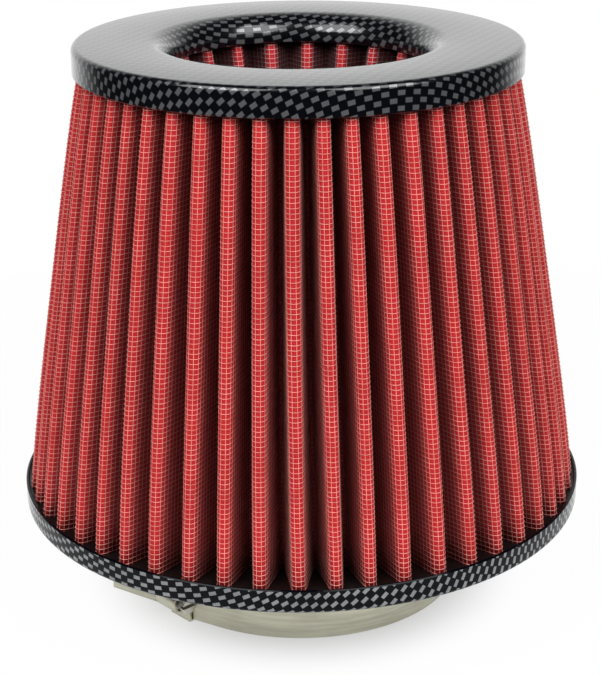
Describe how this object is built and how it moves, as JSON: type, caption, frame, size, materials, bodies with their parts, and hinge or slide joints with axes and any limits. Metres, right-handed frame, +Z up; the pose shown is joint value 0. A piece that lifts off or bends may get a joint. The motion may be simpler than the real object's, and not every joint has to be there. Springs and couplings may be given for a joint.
{
  "type": "cone air filter",
  "caption": "Pleated cone air filter with a ringed open top, an inverted inner cone, a dished base and a rubber neck gripped by a worm-drive clamp.",
  "frame": {"origin": "centre of the neck's open end, which is the lowest face", "axes": "+Z up along the filter's axis, from the neck to the cap; -Y is the front, with the clamp's screw to its left"},
  "size_m": [0.15, 0.15, 0.1483],
  "materials": {
    "printed_shell": "gloss lacquer over a printed grey and black check",
    "potting": "cast, dark brown, slightly glossy",
    "plug": "cast matt black",
    "gauze": "oiled red cotton gauze",
    "wire_mesh": "plain woven bright wire",
    "neck_rubber": "matt black rubber",
    "clamp_steel": "plated strip steel, warm grey",
    "screw_steel": "plated turned steel"
  },
  "bodies": {
    "filter": {"top_cap": "printed_shell", "top_potting": "potting", "outer_pleats": "gauze", "outer_mesh": "wire_mesh", "inner_pleats": "gauze", "inner_mesh": "wire_mesh", "inner_cone_plug": "plug", "bottom_potting": "potting", "base_cap": "printed_shell", "neck_sleeve": "neck_rubber", "clamp_band": "clamp_steel", "clamp_housing": "clamp_steel"},
    "screw": {"clamp_screw": "screw_steel"}
  },
  "joints": [
    {"name": "screw_turn", "type": "hinge", "parent": "filter", "child": "screw", "pos_m": [-0.03373, -0.03145, 0.0066], "axis": [0.682, -0.7314, 0], "continuous": true}
  ]
}
